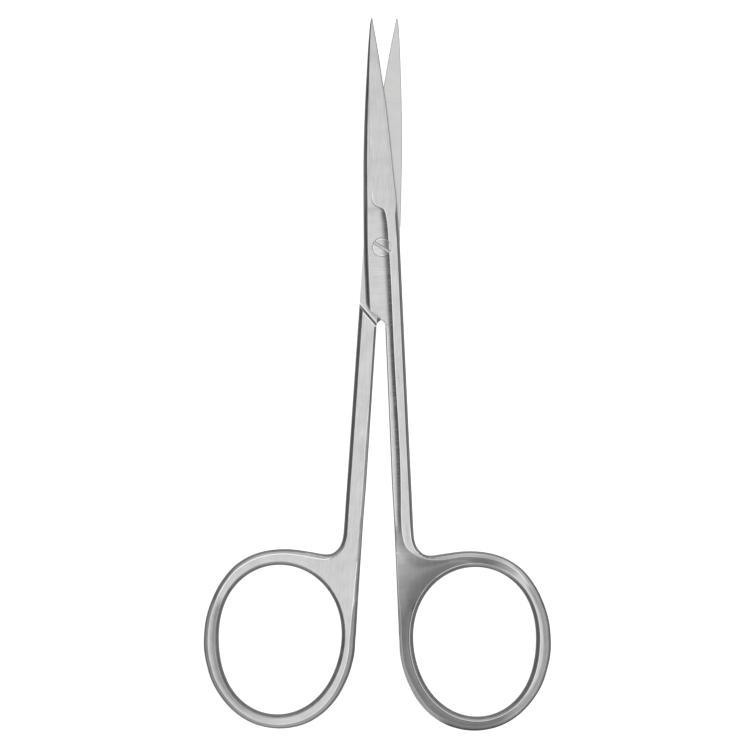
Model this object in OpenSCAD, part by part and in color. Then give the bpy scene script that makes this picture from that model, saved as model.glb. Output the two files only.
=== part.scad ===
// Fine scissors, straight, 12 cm class: two forged halves that cross in a
// lap joint and turn on one slotted screw.
// Millimetres. X to the right, +Y to the blade tips, +Z up from the table.
// Origin: middle of the part's outline, on the rest plane.
// Each half is described in its own closed frame: pivot at 0, long axis Y,
// w = 0 on the lap plane, w > 0 towards that half's outer side.
// The rear half is the front half turned 180 degrees about the long axis.

/* [Joint] */
// Angle of each half from the long axis in the rest pose (degrees)
half_open = 3.05; // [2.9:0.05:8]
// Thickness over both halves at the joint
joint_t = 3.2; // [3:0.1:3.6]
// Distance of the pivot above the middle of the outline
pivot_y = 21.1; // [21:0.05:21.2]
// Gap between the two lap faces
lap_gap = 0.04; // [0.02:0.01:0.08]
// Extra depth of the blades' hollow inner faces
blade_relief = 0.03; // [0.02:0.01:0.06]

/* [Pivot screw] */
// Diameter of the plain shank
pin_d = 2.0; // [1.8:0.05:2.1]
// Radial running clearance in the front half
run_gap = 0.03; // [0.02:0.01:0.06]
// Diameter of the head
head_d = 3.0; // [2.8:0.05:3.1]
// Thickness of the head, measured up from its seat to the channel floor
head_t = 0.6; // [0.5:0.05:0.7]
// Width of the screwdriver slot
slot_w = 0.45; // [0.35:0.05:0.55]
// Depth of the screwdriver slot below the channel floor
slot_h = 0.4; // [0.3:0.05:0.45]

/* [Rings] */
// Width of the bevel round the finger hole
ring_bevel = 0.75; // [0.6:0.05:0.9]
// Depth of the ground channel below the ridge
channel = 0.4; // [0.3:0.05:0.5]

/* [Hidden] */
h = joint_t / 2;
zf = h - channel;
ring_c = [12.7, -66.75];
y_last = -51.15;

// ---- smooth curve through a short table of hand-set stations ----
// a table runs downwards in its first value
function seg(t, T, i = 0) = (i >= len(T) - 2 || t >= T[i + 1][0]) ? i : seg(t, T, i + 1);
function slope(T, i) = (i <= 0 || i >= len(T) - 1) ? 0 :
  let (a = (T[i][1] - T[i - 1][1]) / (T[i][0] - T[i - 1][0]),
       b = (T[i + 1][1] - T[i][1]) / (T[i + 1][0] - T[i][0]))
  a * b <= 0 ? 0 : 2 * a * b / (a + b);
function cv(t, T) =
  t >= T[0][0] ? T[0][1] : t <= T[len(T) - 1][0] ? T[len(T) - 1][1] :
  let (i = seg(t, T), w = T[i + 1][0] - T[i][0], s = (t - T[i][0]) / w,
       e0 = i == 0 ? (T[1][1] - T[0][1]) / w : slope(T, i),
       e1 = i == len(T) - 2 ? (T[i + 1][1] - T[i][1]) / w : slope(T, i + 1))
  (1 + 2 * s) * (1 - s) * (1 - s) * T[i][1] + s * (1 - s) * (1 - s) * w * e0
  + s * s * (3 - 2 * s) * T[i + 1][1] + s * s * (s - 1) * w * e1;

// ---- outlines and features along the long axis ----
XL = [[38.4, -0.13], [38, -0.25], [37.5, -0.37], [36, -0.58], [33, -0.93], [28, -1.42],
  [24.5, -1.75], [21, -2.03], [18, -2.24], [14.5, -2.45], [11, -2.6], [8, -2.73], [4.5, -2.86],
  [1, -2.97], [-3, -3.04]];
XR = [[38.3, 0.06], [37.5, 0.14], [36, 0.34], [34, 0.6], [31, 0.96], [28, 1.26], [24.5, 1.68],
  [17.7, 2.2], [11, 2.6], [7.7, 2.84], [4.4, 2.92], [0, 3.04], [-10, 3.09], [-20, 3.14],
  [-30, 3.19], [-36, 3.22], [-42, 3.26], [-46, 3.27], [-48, 3.3], [-49, 3.39], [-49.9, 3.62],
  [-50.6, 3.99], [-51.15, 4.48]];
RIDGE = [[38.3, -0.05], [37.5, -0.17], [36, -0.33], [33, -0.58], [28, -0.93], [24.5, -1.08],
  [21, -1.16], [18, -1.22], [14.5, -1.28], [11, -1.3], [8.6, -1.29], [8, -1.23], [7.6, -1.13],
  [7.3, -0.96], [7, -0.62], [6.75, -0.15], [6.5, 0.36], [6.2, 0.66], [5.8, 0.79], [5.2, 0.92],
  [3.8, 1.09], [2.5, 1.15], [0, 1.2], [-3, 1.27], [-8, 1.3], [-14, 1.3], [-20, 1.34],
  [-26, 1.44], [-31, 1.53], [-36, 1.55], [-41, 1.45], [-45.6, 1.3], [-47, 1.34], [-48, 1.44],
  [-49, 1.62], [-49.8, 1.86], [-50.5, 2.34], [-51.15, 3.05]];
FL = [[38.3, 0.04], [37.5, 0.14], [33, 0.32], [25, 0.5], [15, 0.6], [-12.9, 0.65],
  [-13.3, 0.2], [-60, 0.2]];
FR = [[38.3, 0.03], [37.5, 0.07], [33, 0.12], [20, 0.16], [8, 0.2], [6.4, 0.3],
  [5, 0.48], [-46, 0.5], [-51.15, 0.5]];
ZTOP = [[38.3, 0.34], [36, 0.5], [30, 0.8], [20, 1.15], [10, 1.48], [6.3, 1.6]];
ZCUT = [[38.3, 0.3], [36, 0.43], [33, 0.54], [30, 0.65], [22, 0.87], [16, 1.06], [12, 1.2],
  [8, 1.46], [6.3, 1.6]];
ZSTRIP = [[38.3, 0.3], [36, 0.46], [30, 0.74], [20, 1.11], [12, 1.375], [9.5, 1.465],
  [8.2, 1.49], [7.2, 1.49], [6.7, 1.44], [6, 1.31], [5.4, 1.23], [4.6, 1.2]];
FILLET = [[38.3, 0.05], [30, 0.3], [12, 0.4], [8, 0.45], [7, 0.5], [6.5, 0.7], [5.5, 1.2],
  [4, 1.45], [-2, 1.42], [-6, 1.25], [-13, 1.12], [-14, 0.95], [-51.15, 1.2]];
ZWR = [[38.3, 0.1], [9, 0.12], [6.5, 0.3], [5, 0.42], [-51.15, 0.42]];
ZWL = [[38.3, 0.1], [30, 0.1], [-12.9, 0.12], [-13.3, 1.1], [-60, 1.1]];
BACK = [[-6, -0.4], [-8, -1.25], [-40, -1.25], [-48, -1.35], [-51.15, -1.42]];

function xl(y) = y > -13.1 ? cv(y, XL) : 0.04 + 0.11 * ease((-38 - y) / 10);
function xr(y) = cv(y, XR);

// one cross-section: columns from left to right, each [x, w]
NC = 12;
function top_sec(y) =
  let (a = xl(y), b = xr(y), r = cv(y, RIDGE), fl = cv(y, FL), fr = cv(y, FR),
       k = h / 1.6, zr = k * cv(y, ZTOP), zc = k * cv(y, ZCUT),
       z0 = min(k * cv(y, ZSTRIP) - (0.4 * k - 0.4) - (channel - 0.4), zr - 0.02),
       w = min(cv(y, FILLET), 0.86 * (r - a - fl)))
  [[a, cv(y, ZWL)], [a + fl, z0], [(a + fl + r - w) / 2, z0], [r - w, z0],
   [r - 0.75 * w, z0 + 0.05 * (zr - z0)], [r - 0.5 * w, z0 + 0.22 * (zr - z0)],
   [r - 0.25 * w, z0 + 0.53 * (zr - z0)], [r, zr],
   [(r + b - fr) / 2, (zr + zc) / 2], [b - fr, zc], [b - fr / 2, (zc + cv(y, ZWR)) / 2 + 0.04],
   [b, cv(y, ZWR)]];
function bot_sec(y) =
  let (a = xl(y), b = xr(y), z = cv(y, BACK), s = y > -8 ? 0.2 : 1,
       T = top_sec(y_last), q = (y - y_last) / 10, m = min(1, max(0, q)),
       fi = min(0.38, 0.2 * (b - a)), fo = min(0.62, 0.25 * (b - a)))
  [for (i = [0 : NC - 1]) let (
     even = i == 0 ? a : i == 1 ? a + fi : i >= NC - 1 ? b : i == NC - 2 ? b - fo / 2 : i == NC - 3 ? b - fo :
       a + fi + (b - fo - a - fi) * (i - 1) / (NC - 4),
     x = m * even + (1 - m) * T[i][0],
     dl = x - a, dr = b - x,
     zz = dl < fi ? z + 0.75 * s * (1 - dl / fi) : dr < fo ? z + 0.85 * s * (1 - dr / fo) : z)
   [x, zz]];

SY = [38.3, 38, 37.5, 36.8, 36, 34.5, 33, 31, 28, 24.5, 21, 18, 15, 12, 10, 9, 8.6, 8.2,
  7.9, 7.6, 7.3, 7.1, 6.9, 6.7, 6.5, 6.3, 6.1, 5.8, 5.4, 5, 4, 2.8, 1.5, 0, -1.5, -3, -5.5,
  -6.5, -8, -10, -12.9, -13.3, -14, -16, -20, -24, -28, -32, -36, -39, -42, -44, -46, -47,
  -48, -48.6, -49, -49.4, -49.9, -50.3, -50.7, -51.15];
NS = len(SY);

// ---- ring ----
// finger hole and outer edge as radii round ring_c, by angle
function r_in(p) = 11.36 + 0.12 * cos(p) + 0.42 * sin(p) - 1.14 * cos(2 * p)
  - 0.08 * cos(3 * p) + 0.07 * sin(3 * p);
OUT = [[477.79, 17.63], [476.9, 17.12], [475.6, 16.74], [473.2, 16.36], [468.6, 16],
  [460, 15.65], [447, 15.45], [432, 15.28], [417, 14.85], [403, 14.1], [388, 13.37],
  [374, 12.95], [360, 12.72], [342, 12.77], [327, 13.1], [312, 13.5], [297, 13.98],
  [282, 14.33], [267, 14.43], [252, 14.32], [237, 13.93], [222, 13.36], [207, 12.83],
  [191, 12.57], [177, 12.54], [165, 12.99]];
function r_out(p) = p < 168 ? max(12.55 / abs(cos(p)), 12.54) : cv(p, OUT);
RIM = [[483, 19.3], [481.74, 18.34], [480.6, 17.6], [479.5, 17.05], [477.5, 16.45],
  [474.5, 15.78], [471, 15.35], [468.8, 15.12], [462.4, 14.88], [453.9, 14.76], [447.6, 14.6],
  [432.5, 14.45], [417.6, 14.06], [402.7, 13.28], [380, 12.42], [360, 12.07], [330, 12.42],
  [300, 13.27], [270, 13.77], [240, 13.37], [210, 12.33], [180, 12.12], [165, 12.54],
  [150, 14.1], [129, 19.7]];
// 0: valley with a rim at the outside, 1: crest at the hole and the face falling outwards
FADE = [[478, 0], [436, 0], [396, 1], [129, 1]];
function ease(x) = let (c = max(0, min(1, x))) c * c * (3 - 2 * c);

TL = top_sec(y_last);
BL = bot_sec(y_last);
// rays of the junction run from the right edge of the shank to the left one
function ray_of(x) = 360 + atan2(y_last - ring_c[1], x - ring_c[0]);
SECT = [for (i = [NC - 1 : -1 : 0]) ray_of(TL[i][0])];
p_left = SECT[NC - 1] - 360;
NR = 72;
FREE = [for (i = [1 : NR - 1]) p_left + (SECT[0] - p_left) * i / NR];
PH = concat(FREE, SECT);
NP = len(PH);
NF = len(FREE);
NL = 10;

function jr(p) = (y_last - ring_c[1]) / sin(p);
function ray_top(i) =
  let (p = PH[i], sec = i >= NF, k = sec ? NC - 1 - (i - NF) : 0,
       ro = sec ? jr(p) : r_out(p), past = p > 481.74,
       rr = past ? ro - 0.06 : min(cv(p, RIM), ro - (sec ? 0.06 : 0.3)),
       ri = r_in(p), r1 = ri + ring_bevel,
       f = sec ? min(1, max(0, (p - 477.8) / 11.3)) : cv(p, FADE),
       low = ease((330 - p) / 40), strip = ease((252 - p) / 16),
       zo = sec ? TL[k][1] : p > 400 ? 0.5 : 1.08 - 0.53 * ease((p - 170) / 50),
       zr = past ? zo : sec ? max(zo, h - 0.02) : h - (0.3 + 0.1 * low) * f,
       z1 = zf - 0.07 + 0.4 * f, za = z1 + 0.02 - 0.02 * f,
       ra = r1 + (rr - r1) * (0.06 * (1 - f) + f * (0.42 - 0.36 * low)),
       rs = sec ? rr + 0.5 * (ro - rr) :
         max(rr + 0.35 * (ro - rr), ro - (0.3 + 0.06 * f) * (1 - strip) - 0.09 * strip),
       zs = past ? zo : sec ? max(zo, h - 0.02) : zr - 0.02 - 0.12 * f * (1 - strip))
  [[ri, 0.66], [ri + 0.4 * ring_bevel, 0.66 + 0.56 * (z1 - 0.66)], [r1, z1], [ra, za],
   [ra + 0.33 * (rr - ra), za + 0.264 * (zr - za)], [ra + 0.67 * (rr - ra), za + 0.618 * (zr - za)],
   [rr, zr], [(rr + rs) / 2, (zr + zs) / 2], [rs, zs], [ro, zo]];
function ray_bot(i) =
  let (p = PH[i], sec = i >= NF, k = sec ? NC - 1 - (i - NF) : 0,
       ro = sec ? jr(p) : r_out(p), ri = r_in(p), r1 = ri + ring_bevel,
       zo = sec ? BL[k][1] : -0.6, g = sec ? ro - 0.3 : ro - 0.6,
       u = ro - ri, far = max(0, min(1, (u - 2.7) / 4)), z = -h + 0.12 * far,
       tilt = sec || cos(p) <= 0 ? 0 : 0.24 * pow(cos(p), 0.7))
  [[ri, -0.7], [ri + 0.4 * ring_bevel, -0.7 + 0.56 * (z + 0.7)], [r1, z],
   for (j = [1 : 5]) [r1 + (g - r1) * j / 6, z + tilt * j / 6],
   [g, sec ? (z + zo) / 2 : z + tilt], [ro, zo]];

function ray_xyz(p, c) = [ring_c[0] + c[0] * cos(p), ring_c[1] + c[0] * sin(p), c[1]];

// points: strip tops, strip bottoms, ray tops, ray bottoms
PTS = concat(
  [for (i = [0 : NS - 2]) for (c = top_sec(SY[i])) [c[0], SY[i], c[1]]],
  [for (i = [0 : NS - 2]) for (c = bot_sec(SY[i])) [c[0], SY[i], c[1]]],
  [for (i = [0 : NP - 1]) for (c = ray_top(i)) ray_xyz(PH[i], c)],
  [for (i = [0 : NP - 1]) for (c = ray_bot(i)) ray_xyz(PH[i], c)]);
o_bot = (NS - 1) * NC;
o_rt = 2 * (NS - 1) * NC;
o_rb = o_rt + NP * NL;
// the last station of the strip is the outer end of the junction rays
function st(i, k) = i < NS - 1 ? i * NC + k : o_rt + (NF + NC - 1 - k) * NL + NL - 1;
function sb(i, k) = i < NS - 1 ? o_bot + i * NC + k : o_rb + (NF + NC - 1 - k) * NL + NL - 1;
function rt(i, j) = o_rt + (i % NP) * NL + j;
function rb(i, j) = o_rb + (i % NP) * NL + j;
function quad(a, b, c, d) = [[a, b, c], [a, c, d]];

FACES = concat(
  // strip: outer side, inner side, left wall, right wall, tip
  [for (i = [0 : NS - 2]) for (k = [0 : NC - 2])
     each quad(st(i, k), st(i, k + 1), st(i + 1, k + 1), st(i + 1, k))],
  [for (i = [0 : NS - 2]) for (k = [0 : NC - 2])
     each quad(sb(i, k), sb(i + 1, k), sb(i + 1, k + 1), sb(i, k + 1))],
  [for (i = [0 : NS - 2]) each quad(st(i, 0), st(i + 1, 0), sb(i + 1, 0), sb(i, 0))],
  [for (i = [0 : NS - 2])
     each quad(st(i, NC - 1), sb(i, NC - 1), sb(i + 1, NC - 1), st(i + 1, NC - 1))],
  [for (k = [0 : NC - 2]) each quad(st(0, k), sb(0, k), sb(0, k + 1), st(0, k + 1))],
  // ring: outer side, inner side, hole wall
  [for (i = [0 : NP - 1]) for (j = [0 : NL - 2])
     each quad(rt(i, j), rt(i + 1, j), rt(i + 1, j + 1), rt(i, j + 1))],
  [for (i = [0 : NP - 1]) for (j = [0 : NL - 2])
     each quad(rb(i, j), rb(i, j + 1), rb(i + 1, j + 1), rb(i + 1, j))],
  [for (i = [0 : NP - 1]) each quad(rt(i, 0), rb(i, 0), rb(i + 1, 0), rt(i + 1, 0))],
  // outer wall away from the junction
  [for (i = [0 : NP - 1]) if (i < NF || i == NP - 1)
     each quad(rt(i, NL - 1), rt(i + 1, NL - 1), rb(i + 1, NL - 1), rb(i, NL - 1))]);

// ---- cuts of the lap joint ----
// foot of the leaning shoulder wall on the lap plane
foot = [2.64, -10.02];
// free end of the lap, at the channel floor
tail = [-3.1, -9.85];
// angles of the two walls to the long axis, and how far the shoulder wall leans per mm
foot_a = 44.6;
tail_a = 47.9;
lean = 0.4;

// bar across the joint: section in (outward distance, w), run along the wall
module bar(pts, l0, l1) {
  rotate([90, 0, 0]) translate([0, 0, -l1]) linear_extrude(height = l1 - l0) polygon(pts);
}

module blank() { polyhedron(points = PTS, faces = FACES, convexity = 12); }

module half() {
  difference() {
    blank();
    // lap plane up to the leaning shoulder wall
    translate([foot[0], foot[1], 0]) rotate([0, 0, 180 - foot_a])
      bar([[-3 * lean, -3], [60, -3], [60, lap_gap / 2], [0, lap_gap / 2]], -60, 60);
    // hollow of the blade's inner face
    translate([-9, 3.6, -3]) cube([18, 40, 3 + lap_gap / 2 + blade_relief]);
    // free end of the lap over the other half's shoulder, with its crotch
    translate([0, 0, -3]) linear_extrude(height = 6)
      polygon([[-6, -7.23], [-3.1, -9.85], [-0.71, -12.01], [-0.58, -12.13], [-0.45, -12.24],
        [-0.31, -12.34], [-0.19, -12.47], [-0.09, -12.62], [-0.01, -12.78], [0.04, -12.95],
        [0.06, -13.15], [0.05, -13.4], [0, -13.7], [-0.3, -13.9], [-6, -13.9]]);
    intersection() {
      translate([tail[0], tail[1], 0]) rotate([0, 0, 180 + tail_a])
        bar([[-0.73, -0.1], [0, 1.15], [0, 1.25], [2, 1.25], [2, -0.1]], -8, 8);
      translate([-8, -16, -2]) cube([8.02, 16, 4]);
    }
  }
}

// the two halves in the rest pose
module in_front() { translate([0, pivot_y, h]) rotate([0, 0, half_open]) children(); }
module in_rear() { translate([0, pivot_y, h]) rotate([0, 0, -half_open]) rotate([0, 180, 0]) children(); }

module front_half() color([0.78, 0.78, 0.77])
  difference() {
    in_front() half();
    translate([0, pivot_y, -1]) cylinder(h = 8, r = pin_d / 2 + run_gap, $fn = 64);
    translate([0, pivot_y, h + zf - head_t]) cylinder(h = 8, r = head_d / 2 + run_gap, $fn = 64);
  }

module rear_half() color([0.76, 0.76, 0.75])
  difference() {
    in_rear() half();
    translate([0, pivot_y, -1]) cylinder(h = 8, r = pin_d / 2, $fn = 64);
  }

module pivot_screw() color([0.74, 0.74, 0.73])
  in_front() difference() {
    intersection() {
      union() {
        translate([0, 0, -h]) cylinder(h = h + zf - 0.2, r = pin_d / 2, $fn = 64);
        translate([0, 0, zf - head_t + 0.02]) cylinder(h = 4, r = head_d / 2, $fn = 64);
      }
      // the head is ground with the channel of the front half
      rotate([90, 0, 0]) translate([0, 0, -3]) linear_extrude(height = 6)
        polygon(concat([[-3, -zf], [3, -zf], [3, h - 0.02]],
          [for (i = [7 : -1 : 3]) let (c = top_sec(0)[i]) [c[0], c[1] - 0.02]], [[-3, zf - 0.02]]));
    }
    rotate([0, 0, -35]) translate([-3, -slot_w / 2, zf - slot_h]) cube([6, slot_w, 4]);
  }

front_half();
rear_half();
pivot_screw();
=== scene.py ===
import math

import bmesh
import bpy
import numpy as np
from mathutils import Matrix, Vector


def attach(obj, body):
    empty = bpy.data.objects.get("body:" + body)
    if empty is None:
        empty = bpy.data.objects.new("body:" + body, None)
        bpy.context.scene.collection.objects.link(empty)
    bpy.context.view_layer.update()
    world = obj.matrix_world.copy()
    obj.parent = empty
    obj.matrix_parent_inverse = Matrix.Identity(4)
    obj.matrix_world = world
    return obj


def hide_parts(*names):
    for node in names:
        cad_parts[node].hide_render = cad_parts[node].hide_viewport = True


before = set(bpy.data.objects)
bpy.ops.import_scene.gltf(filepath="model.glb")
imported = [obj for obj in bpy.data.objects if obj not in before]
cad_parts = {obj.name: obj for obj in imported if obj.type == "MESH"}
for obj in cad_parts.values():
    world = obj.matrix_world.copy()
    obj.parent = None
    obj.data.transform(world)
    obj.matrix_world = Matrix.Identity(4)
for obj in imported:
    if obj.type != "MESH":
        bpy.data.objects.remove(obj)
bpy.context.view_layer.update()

# ---------------------------------------------------------------- sizes (mm)
HALF_OPEN = 3.05
PIVOT_Y = 21.1
H = 1.6
ZF = 1.2
CHANNEL = 0.4
LAP_GAP = 0.04
RELIEF = 0.03
PIN_R, RUN_GAP, HEAD_R, HEAD_T = 1.0, 0.03, 1.5, 0.6
SLOT_W, SLOT_H = 0.45, 0.4
RING_BEVEL = 0.60
RCX, RCY = 12.7, -66.75
Y_LAST = -51.15
FOOT, FOOT_A = (2.64, -10.02), 44.6
TAIL, TAIL_A = (-3.1, -9.85), 47.9


def cv(t, T):
    """Smooth monotone curve through a table that runs downwards."""
    X = np.array([p[0] for p in T], float)[::-1]
    Y = np.array([p[1] for p in T], float)[::-1]
    d = np.diff(Y) / np.diff(X)
    m = np.zeros(len(X))
    a, b = d[:-1], d[1:]
    ok = a * b > 0
    m[1:-1][ok] = 2 * a[ok] * b[ok] / (a[ok] + b[ok])
    m[0], m[-1] = d[0], d[-1]
    t = np.clip(np.asarray(t, float), X[0], X[-1])
    i = np.clip(np.searchsorted(X, t, side="right") - 1, 0, len(X) - 2)
    w = X[i + 1] - X[i]
    s = (t - X[i]) / w
    return (
        (1 + 2 * s) * (1 - s) ** 2 * Y[i]
        + s * (1 - s) ** 2 * w * m[i]
        + s * s * (3 - 2 * s) * Y[i + 1]
        + s * s * (s - 1) * w * m[i + 1]
    )


XL = [[38.4, -0.13], [38, -0.25], [37.5, -0.37], [36, -0.58], [33, -0.93], [28, -1.42], [24.5, -1.75], [21, -2.03], [18, -2.24], [14.5, -2.45], [11, -2.6], [8, -2.73], [4.5, -2.86], [1, -2.97], [-3, -3.04]]
XR = [[38.3, 0.06], [37.5, 0.14], [36, 0.34], [34, 0.6], [31, 0.96], [28, 1.26], [24.5, 1.68], [17.7, 2.2], [11, 2.6], [7.7, 2.84], [4.4, 2.92], [0, 3.04], [-10, 3.09], [-20, 3.14], [-30, 3.19], [-36, 3.22], [-42, 3.26], [-46, 3.27], [-48, 3.3], [-49, 3.39], [-49.9, 3.62], [-50.6, 3.99], [-51.15, 4.48]]
RIDGE = [[38.3, -0.05], [37.5, -0.17], [36, -0.33], [33, -0.58], [28, -0.93], [24.5, -1.08], [21, -1.16], [18, -1.22], [14.5, -1.28], [11, -1.3], [8.6, -1.29], [8, -1.23], [7.6, -1.13], [7.3, -0.96], [7, -0.62], [6.75, -0.15], [6.5, 0.36], [6.2, 0.66], [5.8, 0.79], [5.2, 0.92], [3.8, 1.09], [2.5, 1.15], [0, 1.2], [-3, 1.27], [-8, 1.3], [-14, 1.3], [-20, 1.34], [-26, 1.44], [-31, 1.53], [-36, 1.55], [-41, 1.45], [-45.6, 1.3], [-47, 1.34], [-48, 1.44], [-49, 1.62], [-49.8, 1.86], [-50.5, 2.34], [-51.15, 3.05]]
FL = [[38.3, 0.04], [37.5, 0.14], [33, 0.32], [25, 0.5], [15, 0.6], [-12.9, 0.65], [-13.3, 0.2], [-60, 0.2]]
FR = [[38.3, 0.03], [37.5, 0.07], [33, 0.12], [20, 0.16], [8, 0.2], [6.4, 0.3], [5, 0.48], [-46, 0.5], [-51.15, 0.5]]
ZTOP = [[38.3, 0.34], [36, 0.5], [30, 0.8], [20, 1.15], [10, 1.48], [6.3, 1.6]]
ZCUT = [[38.3, 0.3], [36, 0.43], [33, 0.54], [30, 0.65], [22, 0.87], [16, 1.06], [12, 1.2], [8, 1.46], [6.3, 1.6]]
ZSTRIP = [[38.3, 0.3], [36, 0.46], [30, 0.74], [20, 1.11], [12, 1.375], [9.5, 1.465], [8.2, 1.49], [7.2, 1.49], [6.7, 1.44], [6.0, 1.31], [5.4, 1.23], [4.6, 1.2]]
FILLET = [[38.3, 0.05], [30, 0.3], [12, 0.4], [8, 0.45], [7, 0.5], [6.5, 0.7], [5.5, 1.2], [4, 1.45], [-2, 1.42], [-6, 1.25], [-13, 1.12], [-14, 0.95], [-51.15, 1.2]]
ZWR = [[38.3, 0.1], [9, 0.12], [6.5, 0.3], [5, 0.42], [-51.15, 0.42]]
ZWL = [[38.3, 0.1], [30, 0.1], [-12.9, 0.12], [-13.3, 1.1], [-60, 1.1]]
BACK = [[-6, -0.4], [-8, -1.25], [-40, -1.25], [-48, -1.35], [-51.15, -1.42]]
OUT = [[477.79, 17.63], [476.9, 17.12], [475.6, 16.74], [473.2, 16.36], [468.6, 16.0], [460, 15.65], [447, 15.45], [432, 15.28], [417, 14.85], [403, 14.1], [388, 13.37], [374, 12.95], [360, 12.72], [342, 12.77], [327, 13.1], [312, 13.5], [297, 13.98], [282, 14.33], [267, 14.43], [252, 14.32], [237, 13.93], [222, 13.36], [207, 12.83], [191, 12.57], [177, 12.54], [165, 12.99]]
RIM = [[483, 19.3], [481.74, 18.34], [480.6, 17.6], [479.5, 17.05], [477.5, 16.45], [474.5, 15.78], [471, 15.35], [468.8, 15.12], [462.4, 14.88], [453.9, 14.76], [447.6, 14.6], [432.5, 14.45], [417.6, 14.06], [402.7, 13.28], [380, 12.42], [360, 12.07], [330, 12.42], [300, 13.27], [270, 13.77], [240, 13.37], [210, 12.33], [180, 12.12], [165, 12.54], [150, 14.1], [129, 19.7]]
FADE = [[478, 0], [436, 0], [396, 1], [129, 1]]

RHO = 0.09  # radius by which the polished edges are broken


def rounded(keys, subs, rho):
    """keys: list of (x, z) arrays over the stations. Every inner key with rho > 0 becomes a small arc, and every span is divided. Returns x, z as (columns, stations), and 1 for each span that lies on a broken edge."""
    X, Z, T = [keys[0][0]], [keys[0][1]], []
    n = len(keys)
    prev = (keys[0][0], keys[0][1])
    for i in range(1, n):
        kx, kz = keys[i]
        if i < n - 1 and np.max(rho[i]) > 0:
            px, pz = keys[i - 1]
            nx, nz = keys[i + 1]
            la = np.hypot(kx - px, kz - pz)
            lb = np.hypot(nx - kx, nz - kz)
            r = np.minimum(np.minimum(rho[i], 0.42 * la), 0.42 * lb)
            ax, az = kx + (px - kx) / np.maximum(la, 1e-9) * r, kz + (pz - kz) / np.maximum(la, 1e-9) * r
            bx, bz = kx + (nx - kx) / np.maximum(lb, 1e-9) * r, kz + (nz - kz) / np.maximum(lb, 1e-9) * r
        else:
            ax, az, bx, bz = kx, kz, None, None
        for s in range(1, subs[i - 1] + 1):
            t = s / subs[i - 1]
            X.append(prev[0] + (ax - prev[0]) * t)
            Z.append(prev[1] + (az - prev[1]) * t)
            T.append(0)
        if bx is not None:
            # each arc's spans get mark 1: a painted highlight on the broken edge
            for s in (1, 2, 3):
                t = s / 3
                X.append((1 - t) ** 2 * ax + 2 * t * (1 - t) * kx + t * t * bx)
                Z.append((1 - t) ** 2 * az + 2 * t * (1 - t) * kz + t * t * bz)
                T.append(1)
            prev = (bx, bz)
        else:
            prev = (kx, kz)
    return np.array(X), np.array(Z), T


def left_x(y):
    return np.where(y > -13.1, cv(y, XL), 0.04 + 0.11 * ease((-38 - y) / 10))


def top_sec(y):
    """Outer side of the strip: (columns, stations) of x and height."""
    y = np.asarray(y, float)
    a, b, r = left_x(y), cv(y, XR), cv(y, RIDGE)
    fl, fr = cv(y, FL), cv(y, FR)
    zr, zc = cv(y, ZTOP), cv(y, ZCUT)
    z0 = np.minimum(cv(y, ZSTRIP), zr - 0.02)
    w = np.minimum(cv(y, FILLET), 0.86 * (r - a - fl))
    zl, zw = cv(y, ZWL), cv(y, ZWR)
    keys = [(a, zl), (a + 0.35 * fl, zl + 0.5 * (z0 - zl)), (a + fl, z0), (r - w, z0)]
    for t in (0.18, 0.36, 0.52, 0.66, 0.78, 0.9):
        keys.append((r - w + w * t, z0 + (zr - z0) * t**2.2))
    line = np.minimum(0.16, 0.12 * (b - fr - r))
    keys += [(r, zr), (r + line, zr + (zc - zr) * line / np.maximum(b - fr - r, 1e-6)), (b - fr, zc), (b - 0.4 * fr, zw + 0.55 * (zc - zw)), (b, zw)]
    #       facet a   facet   floor  fillet......... ridge line strip  facet
    subs = [2, 2, 6, 1, 1, 1, 1, 1, 1, 1, 1, 5, 2, 2]
    # crisp along the blade, wider where the ridge sweeps across, and along the shank
    cross = np.clip((y - 5.9) / 0.6, 0, 1) * np.clip((9.5 - y) / 1.5, 0, 1)
    wide = 0.05 + 0.12 * cross
    rho = [0, 0, 0.2, 0, 0, 0, 0, 0, 0, 0, wide, 0, 0.06, 0, 0]
    X, Z, T = rounded(keys, subs, rho)
    # the span just right of the ridge line gets mark 3: a painted highlight line
    T[-1 - 5 - 3 - 2 - 2] = 3
    return X, Z, T


def bot_sec(y):
    """Inner side of the strip, with as many columns as the outer side."""
    y = np.asarray(y, float)
    a, b, z = left_x(y), cv(y, XR), cv(y, BACK)
    s = np.where(y > -8, 0.2, 1.0)
    fi, fo = np.minimum(0.38, 0.2 * (b - a)), np.minimum(0.62, 0.25 * (b - a))
    # below the middle of the shank the inner edge gets a second, flatter facet
    low = np.clip((-26.0 - y) / 8.0, 0, 1)
    keys = [
        (a, z + s * 0.8),
        (a + fi * (1 - 0.55 * low), z + s * (0.0 + 0.22 * low)),
        (a + fi + 0.12 * low + 0.03, z + 0.0 * y),
        (a + 0.5 * (b - a), z + 0.0 * y),
        (b - fo, z + 0.0 * y),
        (b - 0.35 * fo, z + s * 0.4),
        (b, z + s * 0.9),
    ]
    n = len(top_sec(np.array([0.0]))[0])
    # 3 rounded keys give 3 extra columns each
    rest = n - 1 - 9 - 3 - 2 - 2 - 2
    subs = [3, 2, rest // 2, rest - rest // 2, 2, 2]
    rho = [0, 0.05, 0.06, 0, RHO, 0, 0]
    X, Z, tag = rounded(keys, subs, rho)
    assert len(X) == n, (len(X), n)
    m = np.clip((y - Y_LAST) / 6.0, 0, 1)
    m = m * m * (3 - 2 * m)
    # at the ring the columns line up with those of the outer side
    T = top_sec(np.array([Y_LAST]))[0][:, 0]
    u = (T - T[0]) / (T[-1] - T[0])
    xt = a[None, :] + u[:, None] * (b - a)[None, :]
    zt = np.empty_like(xt)
    for j in range(xt.shape[1]):
        zt[:, j] = np.interp(xt[:, j], X[:, j], Z[:, j])
    return m * X + (1 - m) * xt, m * Z + (1 - m) * zt, tag


def r_in(p):
    q = np.radians(p)
    return 11.36 + 0.12 * np.cos(q) + 0.42 * np.sin(q) - 1.14 * np.cos(2 * q) - 0.08 * np.cos(3 * q) + 0.07 * np.sin(3 * q)


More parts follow.
